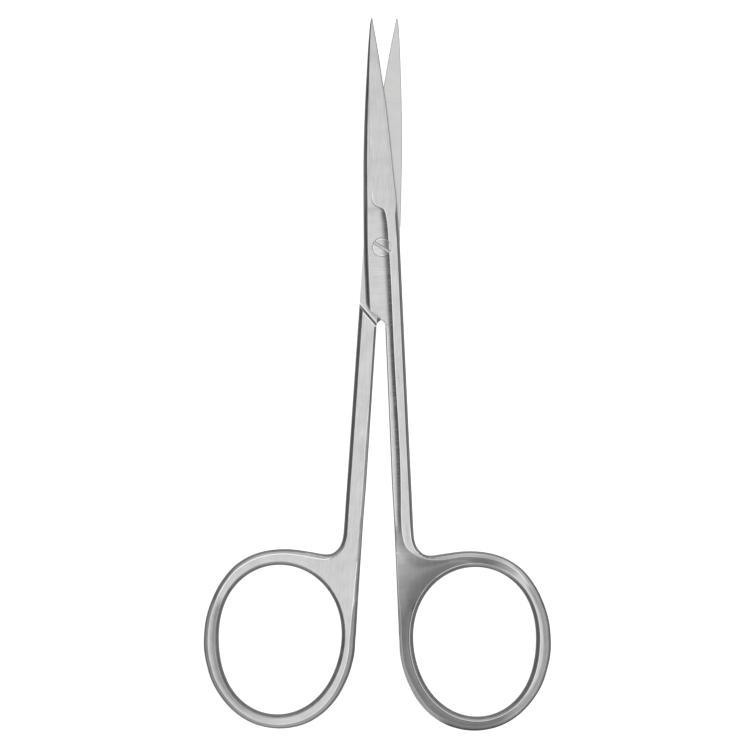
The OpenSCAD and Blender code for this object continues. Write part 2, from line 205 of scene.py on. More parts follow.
def r_out(p):
    p = np.asarray(p, float)
    return np.where(p < 168, np.maximum(12.55 / np.abs(np.cos(np.radians(np.minimum(p, 168)))), 12.54), cv(p, OUT))


def ease(x):
    x = np.clip(x, 0, 1)
    return x * x * (3 - 2 * x)


def ring_grid(tx, tz, bz):
    """Rays round the finger hole. Returns angles and, for both sides, (lanes, rays) of radius and height."""
    n = len(tx)
    sect = 360 + np.degrees(np.arctan2(Y_LAST - RCY, tx[::-1] - RCX))
    lo, hi = sect[-1] - 360, sect[0]
    nr = 300
    # finer where the crotch curves
    free = lo + (hi - lo) * (np.arange(1, nr) / nr)
    extra = hi - np.array([0.15, 0.3, 0.5, 0.7, 0.95, 1.4, 1.9])
    free = np.sort(np.concatenate([free[free < hi - 0.1], extra]))
    keep = np.r_[True, np.diff(free) > 0.04]
    free = free[keep]
    p = np.r_[free, sect]
    sec = np.r_[np.zeros(len(free), bool), np.ones(n, bool)]
    zt = np.r_[np.zeros(len(free)), tz[::-1]]
    zb = np.r_[np.zeros(len(free)), bz[::-1]]
    ro = np.where(sec, (Y_LAST - RCY) / np.sin(np.radians(p)), r_out(p))
    past = p > 481.74
    f = np.where(sec, 0, cv(p, FADE))
    rr = np.where(past, ro - 0.06, np.minimum(cv(p, RIM), ro - np.where(sec, 0.06, 0.3)))
    ri = r_in(p)
    r1 = ri + RING_BEVEL
    zo = np.where(sec, zt, np.where(p < 200, 0.9, 0.55))
    # the outer wall's top edge eases from one level to the next
    down = ease((p - 170) / 50)
    zo = np.where(sec, zt, 1.08 - 0.53 * down)
    near_a = np.clip((hi - p) / 6, 0, 1)
    zo = np.where(sec | (p < 400), zo, 0.55 * near_a + 0.42 * (1 - near_a))
    # f = 0: valley with a rim at the outside; f = 1: crest at the hole, the face falling outwards
    low = ease((330 - p) / 40)
    strip = ease((252 - p) / 16)
    zr = np.where(sec, np.maximum(zo, H - 0.02), H - (0.3 + 0.1 * low) * f)
    z1 = 1.13 + 0.40 * f
    za = 1.15 + 0.38 * f
    span = rr - r1
    ra = r1 + span * (0.06 * (1 - f) + f * (0.42 - 0.36 * low))
    # narrow crest, painted as a highlight line, then a small step down to the face on the lower part
    c1 = r1 + 0.13
    c2 = np.maximum(ra, c1 + 0.09)
    zc = za - 0.09 * low * f
    keys = [(ri, 0.66 + 0 * p), (ri + 0.4 * RING_BEVEL, 0.66 + 0.56 * (z1 - 0.66)), (r1, z1), (c1, z1 + 0.01), (c2, zc)]
    for t in (0.2, 0.4, 0.6, 0.8):
        keys.append((c2 + (rr - c2) * t, zc + (zr - zc) * t**1.2))
    rs = np.where(sec, rr + 0.5 * (ro - rr), np.maximum(rr + 0.35 * (ro - rr), ro - (0.3 + 0.06 * f) * (1 - strip) - 0.09 * strip))
    zs = np.where(sec, np.maximum(zo, H - 0.02), zr - 0.02 - 0.12 * f * (1 - strip))
    # fine step where the outer facet meets the rim on the far shoulder
    step = np.where(sec, 0, ease((p - 385) / 15) * ease((466 - p) / 10))
    r3 = rs + np.minimum(0.07, 0.4 * (ro - rs)) * step + 0.004
    keys += [(rr, zr), (rs, zs), (r3, zs - np.minimum(0.13, 0.4 * (zs - zo)) * step), (ro, zo)]
    subs = [3, 2, 1, 3, 2, 2, 2, 2, 2, 2, 1, 3]
    rho = [0, 0, 0.05, 0, 0, 0, 0, 0, 0, 0.05, 0.05, 0, 0]
    TR, TZ, tt = rounded(keys, subs, rho)
    # the crest's span gets mark 3: a painted highlight line
    tt[3 + 2 + 3] = 3
    zo = np.where(sec, zb, -0.6)
    z = -H + 0 * p
    tilt = np.where(sec, 0, 0.24 * np.clip(np.cos(np.radians(p)), 0, 1) ** 0.7)
    # on the far side the face is slightly hollow, on the near side the outer facet is wider
    near_ = np.clip(-np.cos(np.radians(p)), 0, 1)
    re_ = ro - np.where(sec, 0.3, 0.72 + 0.3 * near_)
    keys = [(ri, -0.7 + 0 * p), (ri + 0.4 * RING_BEVEL, -0.7 + 0.56 * (z + 0.7)), (r1, z)]
    for t in (0.15, 0.3, 0.5, 0.75):
        keys.append((r1 + (re_ - r1) * t, z + tilt * (1 - (1 - t) ** 1.8)))
    keys += [(re_, z + tilt), (ro - 0.3 - np.where(sec, 0, 0.12 * near_), np.where(sec, z, -1.3 + 0.4 * tilt)), (ro, zo)]
    subs = [3, 2, 2, 2, 3, 3, 4, 2, 3]
    rho = [0, 0, 0.07, 0, 0, 0, 0, 0.07, 0, 0]
    BR, BZ, tb = rounded(keys, subs, rho)
    # the arc at the inner bevel's crease gets mark 3: a painted highlight line
    tb = [3 if k in (5, 6, 7) else v for k, v in enumerate(tb)]
    return p, len(free), TR, TZ, BR, BZ, tt, tb


class Inner:
    """Height of the inner side from the distances to the outline and to the finger hole."""

    def __init__(self):
        y = np.arange(-38.0, Y_LAST, -0.04)
        right = np.c_[cv(y, XR), y]
        q = np.arange(477.8, 168.0, -0.15)
        ring = np.c_[RCX + cv(q, OUT) * np.cos(np.radians(q)), RCY + cv(q, OUT) * np.sin(np.radians(q))]
        yl = np.arange(-66.0, -38.0, 0.04)
        left = np.c_[left_x(yl), yl]
        self.P = np.r_[right, ring, left]
        kr, kl = ease((-42 - y) / 9), ease((-50 - yl) / 8)
        self.K = np.r_[kr, np.ones(len(q)), kl]
        # shank outer facet, ring, shank inner facet: rim height above the flat, first width and height, full width
        S = np.r_[np.tile([0.9, 0.22, 0.4, 0.62], (len(y), 1)), np.tile([1.0, 0.22, 0.35, 0.6], (len(q), 1)), np.tile([0.8, 0.17, 0.22, 0.53], (len(yl), 1))]
        R = np.array([1.0, 0.22, 0.35, 0.6])
        self.S = S + (R - S) * self.K[:, None]

    def flat(self, y):
        return np.where(y > Y_LAST, cv(y, BACK), -H + 0.18 * ease((y + 62.0) / (Y_LAST + 62.0)))

    def __call__(self, x, y, hole):
        sh = x.shape
        x, y, hole = x.ravel(), y.ravel(), hole.ravel()
        out = np.empty(len(x))
        for i0 in range(0, len(x), 2000):
            i1 = min(i0 + 2000, len(x))
            d2 = (x[i0:i1, None] - self.P[None, :, 0]) ** 2 + (y[i0:i1, None] - self.P[None, :, 1]) ** 2
            k = d2.argmin(1)
            d = np.sqrt(d2[np.arange(i1 - i0), k])
            h0, d1, h1, dd = self.S[k].T
            prof = np.where(d < d1, h0 + (h1 - h0) * d / d1, h1 * (1 - (d - d1) / (dd - d1)))
            out[i0:i1] = np.maximum(prof, 0)
        z = self.flat(y)
        h = hole
        depth = z + 0.7
        inn = np.where(h < 0.4 * RING_BEVEL, -0.7 + 0.56 * depth * h / (0.4 * RING_BEVEL), -0.7 + depth * (0.56 + 0.44 * (h - 0.4 * RING_BEVEL) / (0.6 * RING_BEVEL)))
        # the web is a little deeper between the two bevels
        return np.maximum(z + out, np.where(h < RING_BEVEL, inn, -9)).reshape(sh)


class Outer:
    """Height of the outer side round the junction: strip beyond the ridge line, fillet and hollow web before it, bevels along outline and hole."""

    def __init__(self):
        y = np.arange(-36.0, Y_LAST, -0.04)
        right = np.c_[cv(y, XR), y]
        q = np.arange(477.8, 380.0, -0.15)
        ring = np.c_[RCX + cv(q, OUT) * np.cos(np.radians(q)), RCY + cv(q, OUT) * np.sin(np.radians(q))]
        self.C = np.r_[right, ring]
        self.CK = np.r_[ease((-46 - y) / 7), np.ones(len(q))]
        q = np.arange(481.7, 380.0, -0.15)
        ridge = np.c_[RCX + cv(q, RIM) * np.cos(np.radians(q)), RCY + cv(q, RIM) * np.sin(np.radians(q))]
        y2 = np.arange(-36.0, -51.1, -0.04)
        self.R = np.r_[np.c_[cv(y2, RIDGE), y2], ridge]
        # softly joined where the two parts of the ridge line meet
        for _ in range(30):
            self.R[1:-1] = 0.25 * self.R[:-2] + 0.5 * self.R[1:-1] + 0.25 * self.R[2:]
        self.RK = ease((-44 - self.R[:, 1]) / 6)
        t = np.gradient(self.R, axis=0)
        self.RN = np.c_[-t[:, 1], t[:, 0]] / np.hypot(t[:, 0], t[:, 1])[:, None]

    def __call__(self, x, y, hole):
        sh = x.shape
        x, y, hole = x.ravel(), y.ravel(), hole.ravel()
        out = np.empty(len(x))
        for i0 in range(0, len(x), 2000):
            i1 = min(i0 + 2000, len(x))
            X, Y, Hh = x[i0:i1], y[i0:i1], hole[i0:i1]
            ar = np.arange(i1 - i0)
            d2 = (X[:, None] - self.C[None, :, 0]) ** 2 + (Y[:, None] - self.C[None, :, 1]) ** 2
            k = d2.argmin(1)
            d = np.sqrt(d2[ar, k])
            ck = self.CK[k]
            z0, d1, z1, dd = 0.42 + 0.08 * ck, 0.2 - 0.07 * ck, 1.07 + 0.03 * ck, 0.5 - 0.2 * ck
            facet = np.where(d < d1, z0 + (z1 - z0) * d / d1, z1 + (H - z1) * (d - d1) / (dd - d1))
            d2 = (X[:, None] - self.R[None, :, 0]) ** 2 + (Y[:, None] - self.R[None, :, 1]) ** 2
            k = d2.argmin(1)
            dr = np.sqrt(d2[ar, k])
            vx, vy = X - self.R[k, 0], Y - self.R[k, 1]
            beyond = vx * self.RN[k, 0] + vy * self.RN[k, 1] > 0
            rk = self.RK[k]
            w = 1.2 + 1.1 * rk
            e_ = 2.2 - 0.7 * rk
            floor_ = ZF - 0.08 * rk
            fil = floor_ + (H - floor_) * np.clip(1 - dr / w, 0, 1) ** e_
            # the web rises again towards the hole on its left part
            wr = 1.4 + 2.2 * ease((Y + 62) / 5)
            rise = (0.5 + 0.14 * ease((Y + 61) / 4)) * ease((14.5 - X) / 5) * np.clip(1 - (Hh - RING_BEVEL) / wr, 0, 1) ** 1.15 * ease((-49.5 - Y) / 4)
            web = ZF - 0.08 * ease((-48 - Y) / 6) - 0.14 * ease((-50 - Y) / 4) * ease((Y + 63) / 4) * ease((X - 0.3) / 1.5) * ease((13 - X) / 4) + rise
            chan = 0.5 * (fil + web + np.sqrt((fil - web) ** 2 + 0.004))
            chan = np.minimum(chan, H)
            xl = X - left_x(Y)
            left = 1.08 + 0.12 * np.clip(xl / 0.2, 0, 1) ** 0.6 + np.clip(xl - 0.2, 0, 1) * 3
            base = np.where(beyond, H, np.minimum(chan, left))
            # bevel of the hole
            top = np.where(beyond, H, chan)
            b_ = 0.4 * RING_BEVEL
            inn = np.where(Hh < b_, 0.66 + 0.56 * (top - 0.66) * Hh / b_, 0.66 + (top - 0.66) * (0.56 + 0.44 * (Hh - b_) / (RING_BEVEL - b_)))
            out[i0:i1] = np.minimum(np.minimum(base, facet), np.where(Hh < RING_BEVEL, inn, 9))
        return out.reshape(sh)


def half_blank():
    """One half before the joint is cut: vertices, faces (outward)."""
    step = 0.3
    ys = [38.3, 38.15, 38.0, 37.75]
    ys += list(np.arange(37.5, 9.0, -step))
    ys += list(np.arange(9.0, 4.8, -0.12))
    ys += list(np.arange(4.8, -12.8, -step))
    ys += [-12.9, -13.3]
    ys += list(np.arange(-13.6, -45.8, -step))
    ys += list(np.arange(-46.0, -51.0, -0.15))
    ys += [Y_LAST]
    ys = np.array(ys)
    TX, TZ, ta = top_sec(ys)
    BX, BZ, tc = bot_sec(ys)
    NC, NS = TX.shape
    p, nf, RT, RZ, QT, QZ, tt, tb = ring_grid(TX[:, -1], TZ[:, -1], BZ[:, -1])
    # the inner side near the ring: one flat with a bevel along the outline and one along the hole
    cp, ct = np.cos(np.radians(p))[None, :], np.sin(np.radians(p))[None, :]
    QX, QY = RCX + QT * cp, RCY + QT * ct
    inner_side = Inner()
    hole = QT - r_in(p)[None, :]
    near = np.clip((QY + 62.0) / 3.0, 0, 1) * np.ones_like(QT)
    near = near * near * (3 - 2 * near)
    QZ = (1 - near) * QZ + near * inner_side(QX, QY, hole)
    outer_side = Outer()
    TXr, TYr = RCX + RT * cp, RCY + RT * ct
    near = ease((TYr + 62.0) / 3.0) * ease((21.0 - TXr) / 4.0)
    RZ = (1 - near) * RZ + near * outer_side(TXr, TYr, RT - r_in(p)[None, :])
    BY = np.broadcast_to(ys[None, :], BX.shape)
    w = np.clip((-43.0 - BY) / 3.0, 0, 1)
    w = w * w * (3 - 2 * w)
    sel = ys < -42.9
    hb = np.hypot(BX[:, sel] - RCX, BY[:, sel] - RCY) - r_in(np.degrees(np.arctan2(BY[:, sel] - RCY, BX[:, sel] - RCX)))
    ht = np.hypot(TX[:, sel] - RCX, BY[:, sel] - RCY) - r_in(np.degrees(np.arctan2(BY[:, sel] - RCY, TX[:, sel] - RCX)))
    TZ = TZ.copy()
    wt_ = ease((-45.0 - BY) / 3.0)
    TZ[:, sel] = (1 - wt_[:, sel]) * TZ[:, sel] + wt_[:, sel] * outer_side(TX[:, sel], BY[:, sel], ht)
    BZ = BZ.copy()
    BZ[:, sel] = (1 - w[:, sel]) * BZ[:, sel] + w[:, sel] * inner_side(BX[:, sel], BY[:, sel], hb)
    NP = len(p)
    NT, NB = RT.shape[0], QT.shape[0]
    V = []
    V += [(TX[k, i], ys[i], TZ[k, i]) for i in range(NS - 1) for k in range(NC)]
    V += [(BX[k, i], ys[i], BZ[k, i]) for i in range(NS - 1) for k in range(NC)]
    c, s = np.cos(np.radians(p)), np.sin(np.radians(p))
    V += [(RCX + RT[j, i] * c[i], RCY + RT[j, i] * s[i], RZ[j, i]) for i in range(NP) for j in range(NT)]
    V += [(RCX + QT[j, i] * c[i], RCY + QT[j, i] * s[i], QZ[j, i]) for i in range(NP) for j in range(NB)]
    ob, ot, oq = (NS - 1) * NC, 2 * (NS - 1) * NC, 2 * (NS - 1) * NC + NP * NT
    st = lambda i, k: i * NC + k if i < NS - 1 else ot + (nf + NC - 1 - k) * NT + NT - 1
    sb = lambda i, k: ob + i * NC + k if i < NS - 1 else oq + (nf + NC - 1 - k) * NB + NB - 1
    rt = lambda i, j: ot + (i % NP) * NT + j
    rb = lambda i, j: oq + (i % NP) * NB + j
    F, tags = [], []
    for i in range(NS - 1):
        for k in range(NC - 1):
            F.append((st(i, k), st(i + 1, k), st(i + 1, k + 1), st(i, k + 1)))
            F.append((sb(i, k), sb(i, k + 1), sb(i + 1, k + 1), sb(i + 1, k)))
            # the painted highlight line (mark 3) beside the ridge is kept only below y = 9.2, off the blade
            tags += [ta[k] if ta[k] != 3 or ys[i] < 9.2 else 0, tc[k] if ys[i] > -45 else 0]
        F.append((st(i, 0), sb(i, 0), sb(i + 1, 0), st(i + 1, 0)))
        F.append((st(i, NC - 1), st(i + 1, NC - 1), sb(i + 1, NC - 1), sb(i, NC - 1)))
        tags += [0, 0]
    for k in range(NC - 1):
        F.append((st(0, k), st(0, k + 1), sb(0, k + 1), sb(0, k)))
        tags.append(0)
    for i in range(NP):
        for j in range(NT - 1):
            F.append((rt(i, j), rt(i, j + 1), rt(i + 1, j + 1), rt(i + 1, j)))
            tags.append(tt[j] if i < nf else 0)
        for j in range(NB - 1):
            F.append((rb(i, j), rb(i + 1, j), rb(i + 1, j + 1), rb(i, j + 1)))
            # mark 3, the painted highlight line on the inner bevel's crease, only where cos(p) <= 0
            tags.append(tb[j] if i < nf and not (tb[j] == 3 and math.cos(math.radians(p[i])) > 0) else 0)
        # the hole's wall, slightly crowned
        F.append((rt(i, 0), rt(i + 1, 0), rb(i + 1, 0), rb(i, 0)))
        tags.append(0)
        if i < nf or i == NP - 1:
            F.append((rt(i, NT - 1), rb(i, NB - 1), rb(i + 1, NB - 1), rt(i + 1, NT - 1)))
            tags.append(0)
    return V, F, tags


MARKS = [bpy.data.materials.new("mark%d" % i) for i in range(4)]  # 0 ground, 1 broken edge with a painted highlight, 2 machined joint painted darker, partly as shade, 3 painted highlight line


def mesh_of(name, V, F, tags=2):
    me = bpy.data.meshes.new(name)
    me.from_pydata([tuple(map(float, v)) for v in V], [], F)
    for m in MARKS:
        me.materials.append(m)
    me.polygons.foreach_set("material_index", np.full(len(F), tags, np.int32) if isinstance(tags, int) else np.array(tags, np.int32))
    bm = bmesh.new()
    bm.from_mesh(me)
    bmesh.ops.recalc_face_normals(bm, faces=bm.faces)
    bm.to_mesh(me)
    bm.free()
    ob = bpy.data.objects.new(name, me)
    bpy.context.scene.collection.objects.link(ob)
    return ob


def prism(name, outline, z0, z1):
    """Upright prism over an outline."""
    n = len(outline)
    V = [(x, y, z0) for x, y in outline] + [(x, y, z1) for x, y in outline]
    F = [tuple(range(n))[::-1], tuple(range(n, 2 * n))]
    F += [(i, (i + 1) % n, n + (i + 1) % n, n + i) for i in range(n)]
    return mesh_of(name, V, F)


def bar(name, section, l0, l1, at, angle, tags=None):
    """Prism with a section in (outward distance, height), run along a wall of the joint."""
    n = len(section)
    c, s = math.cos(math.radians(angle)), math.sin(math.radians(angle))
    V = []
    for l in (l0, l1):
        for u, z in section:
            V.append((at[0] + u * c - l * s, at[1] + u * s + l * c, z))
    F = [tuple(range(n)), tuple(range(n, 2 * n))[::-1]]
    F += [(i, n + i, n + (i + 1) % n, (i + 1) % n) for i in range(n)]
    return mesh_of(name, V, F, 2 if tags is None else [2, 2] + tags)


def apply_bool(ob, tools, op="DIFFERENCE"):
    for t in tools:
        m = ob.modifiers.new("cut", "BOOLEAN")
        m.operation = op
        m.solver = "EXACT"
        m.object = t
    deps = bpy.context.evaluated_depsgraph_get()
    deps.update()
    me = bpy.data.meshes.new_from_object(ob.evaluated_get(deps))
    ob.modifiers.clear()
    old = ob.data
    ob.data = me
    bpy.data.meshes.remove(old)
    for t in tools:
        d = t.data
        bpy.data.objects.remove(t)
        bpy.data.meshes.remove(d)
    return ob


def circle(r, n, cx=0.0, cy=0.0):
    return [(cx + r * math.cos(2 * math.pi * i / n), cy + r * math.sin(2 * math.pi * i / n)) for i in range(n)]


def lathe(name, profile, n):
    """Closed solid turned round the z axis; the profile starts and ends on the axis."""
    V, F = [], []
    inner = profile[1:-1]
    V.append((0, 0, profile[0][1]))
    V.append((0, 0, profile[-1][1]))
    for r, z in inner:
        for i in range(n):
            V.append((r * math.cos(2 * math.pi * i / n), r * math.sin(2 * math.pi * i / n), z))
    m = len(inner)
    at = lambda j, i: 2 + j * n + i % n
    for i in range(n):
        F.append((0, at(0, i + 1), at(0, i)))
        F.append((1, at(m - 1, i), at(m - 1, i + 1)))
        for j in range(m - 1):
            F.append((at(j, i), at(j, i + 1), at(j + 1, i + 1), at(j + 1, i)))
    return mesh_of(name, V, F)


def ground_z(x):
    """Height of the ground outer side at the pivot."""
    X, Z, _ = top_sec(np.array([0.0]))
    return np.interp(x, X[:, 0], Z[:, 0])


def loft(name, rings, tags=2):
    """Closed solid through rings of equal length, the first and last ones capped."""
    n = len(rings[0])
    V = [v for r in rings for v in r]
    F = [tuple(range(n))[::-1], tuple((len(rings) - 1) * n + i for i in range(n))]
    T = [2, 2]
    for j in range(len(rings) - 1):
        for i in range(n):
            F.append((j * n + i, j * n + (i + 1) % n, (j + 1) * n + (i + 1) % n, (j + 1) * n + i))
            T.append(tags if isinstance(tags, int) else tags[j])
    return mesh_of(name, V, F, T)


def grown(outline, d):
    """Outline moved outwards by d (counter-clockwise outline)."""
    n = len(outline)
    P = np.array(outline, float)
    out = []
    for i in range(n):
        a_, b_ = P[i] - P[i - 1], P[(i + 1) % n] - P[i]
        na = np.array([a_[1], -a_[0]]) / np.hypot(*a_)
        nb = np.array([b_[1], -b_[0]]) / np.hypot(*b_)
        m_ = na + nb
        out.append(tuple(P[i] + m_ * d / max(0.5, float(m_ @ na))))
    return out


def turned(r, z, n=96):
    t = 2 * math.pi * np.arange(n) / n
    x, y = r * np.cos(t), r * np.sin(t)
    z = z(x) if callable(z) else np.full(n, float(z))
    return [(float(a_), float(b_), float(c_)) for a_, b_, c_ in zip(x, y, z)]


CROTCH = [(-6, -13.9), (-0.3, -13.9), (0.0, -13.7), (0.05, -13.4), (0.06, -13.15), (0.04, -12.95), (-0.01, -12.78), (-0.09, -12.62), (-0.19, -12.47), (-0.31, -12.34), (-0.45, -12.24), (-0.58, -12.13), (-0.71, -12.01), (-3.1, -9.85), (-6, -7.23)]


def make_half(name, bore):
    V, F, tags = half_blank()
    ob = mesh_of(name, V, F, tags)
    g = LAP_GAP / 2
    tools = []
    # lap plane and the leaning shoulder wall, its upper edge broken; the broken edge and a thin strip at the wall's
    # foot carry mark 1, a painted highlight
    tools.append(bar("cut_lap", [(-0.75, -3), (-0.65, -1.27), (-0.6, -1.25), (-0.46, -1.225), (-0.43, -1.12), (-0.25, -0.2), (-0.06, g - 0.05), (0.0, g), (0.11, g), (60, g), (60, -3)], -60, 60, FOOT, 180 - FOOT_A, [2, 2, 1, 1, 2, 2, 1, 1, 2, 2, 2]))
    # hollow inner face of the blade with its curved lower end
    g = LAP_GAP / 2
    arc = [(-9, 50), (-9, 3.2)] + [(x, 4.3 - 0.16 * x - 0.08 * x * x) for x in np.linspace(-4, 4, 17)] + [(9, 3.2), (9, 50)]
    tools.append(prism("cut_hollow", arc, -3, g + RELIEF))
    # narrow bevels along both edges of the inner face
    ye = np.r_[38.6, np.arange(38.3, 3.4, -0.5)]
    for tab, sgn, wd in ((XL, 1, 0.11), (XR, -1, 0.07)):
        e0 = cv(ye, tab)
        tools.append(loft("cut_edge", [[(x - 0.1 * sgn, y_, 0.07 + 0.52 * (wd + 0.1)), (x - 0.1 * sgn, y_, -0.1), (x + sgn * (wd + 0.27), y_, -0.1)][::sgn] for x, y_ in zip(e0, ye)], 2))
    # free end of the lap and the rounded crotch
    # the upper and lower rims of the cut are broken: a shallow roll-off, then the wall. The lower rim carries mark 1,
    # the upper rim mark 3: painted highlights
    lv = [(-3, 0.5), (-1.6, 0.14), (-1.22, 0.13), (-1.19, 0.04), (-1.12, 0.0), (1.1, 0.0), (1.17, 0.03), (1.184, 0.045), (1.199, 0.15), (1.6, 0.18), (3, 0.5)]
    rings = [[(x, y, z) for x, y in grown(CROTCH, d)] for z, d in lv]
    tools.append(loft("cut_tail", rings, [2, 2, 1, 1, 2, 2, 2, 3, 3, 2]))
    under = bar("cut_under", [(-0.73, -0.1), (-0.04, 1.06), (0.02, 1.13), (0.02, 1.3), (2, 1.3), (2, -0.1)], -8, 8, TAIL, 180 + TAIL_A)
    clip = prism("clip", [(-8, -16), (0.02, -16), (0.02, 0), (-8, 0)], -2, 2)
    apply_bool(under, [clip], "INTERSECT")
    tools.append(under)
    if bore == "front":
        rb = HEAD_R + RUN_GAP
        # the counterbore's rim carries mark 1: a painted highlight
        tools.append(loft("cut_bore", [turned(PIN_R + RUN_GAP, -2), turned(PIN_R + RUN_GAP, ZF - HEAD_T), turned(rb, ZF - HEAD_T), turned(rb, lambda x: ground_z(x) - 0.03), turned(rb + 0.03, lambda x: ground_z(x) + 0.0), turned(rb + 0.1, lambda x: ground_z(x) + 0.3)], [2, 2, 2, 1, 1]))
    else:
        tools.append(lathe("cut_bore", [(0, -3), (PIN_R, -3), (PIN_R, 3), (0, 3)], 96))
    apply_bool(ob, tools)
    return ob


def place(ob, side):
    """From the half's own frame in mm to the part's frame in metres."""
    a = math.radians(HALF_OPEN)
    if side == "front":
        M = Matrix.Translation((0, PIVOT_Y, H)) @ Matrix.Rotation(a, 4, "Z")
    else:
        M = Matrix.Translation((0, PIVOT_Y, H)) @ Matrix.Rotation(-a, 4, "Z") @ Matrix.Rotation(math.pi, 4, "Y")
    M = Matrix.Scale(0.001, 4) @ M
    ob.data.transform(M)
    ob.data.update()


def grain_map(ob, kind):
    """Grain coordinates in mm: u runs across the brushing lines, v along them. One island per ground surface."""
    me = ob.data
    uv = me.uv_layers.new(name="grain")
    n = len(me.loops)
    co = np.empty(len(me.vertices) * 3, np.float32)
    me.vertices.foreach_get("co", co)
    co = co.reshape(-1, 3)
    li = np.empty(n, np.int32)
    me.loops.foreach_get("vertex_index", li)
    P = co[li]
    out = np.zeros((n, 2), np.float32)
    for poly in me.polygons:
        s = slice(poly.loop_start, poly.loop_start + poly.loop_total)
        c, nn = poly.center, poly.normal
        x, y, z = P[s, 0], P[s, 1], P[s, 2]
        rad = math.hypot(c.x - RCX, c.y - RCY)
        ang = math.degrees(math.atan2(c.y - RCY, c.x - RCX)) % 360
        ringy = kind != "screw" and c.y < -49.0 and rad < float(r_in(ang)) + 3.3 and not (105 < ang < 150 and rad > float(r_in(ang)) + 0.9)
        if kind == "screw":
            out[s, 0], out[s, 1] = y, x + 3
        elif ringy:
            a = np.arctan2(y - RCY, x - RCX)
            # the map's seam lies towards the web, where the grain changes anyway
            a0 = math.radians((ang - 127.5) % 360 + 127.5)
            a = a0 + (a - a0 + np.pi) % (2 * np.pi) - np.pi
            out[s, 0] = np.hypot(x - RCX, y - RCY) + z
            out[s, 1] = a * 13.0
        elif nn.z < -0.8 and abs(c.z) < 0.2:
            out[s, 0], out[s, 1] = y, x
        elif c.z > 0 and nn.z > 0.3 and c.y < 7.5 and c.x < float(cv(c.y, RIDGE)) and c.y > -70:
            # channel, joint and web: ground crosswise
            out[s, 0], out[s, 1] = y, x + z
        else:
            out[s, 0], out[s, 1] = x + z, y
    uv.uv.foreach_set("vector", out.ravel())


# ---------------------------------------------------------------- materials
def node(tree, kind, at=(0, 0), **inputs):
    n = tree.nodes.new(kind)
    n.location = at
    for k, v in inputs.items():
        n.inputs[k.replace("_", " ")].default_value = v
    return n


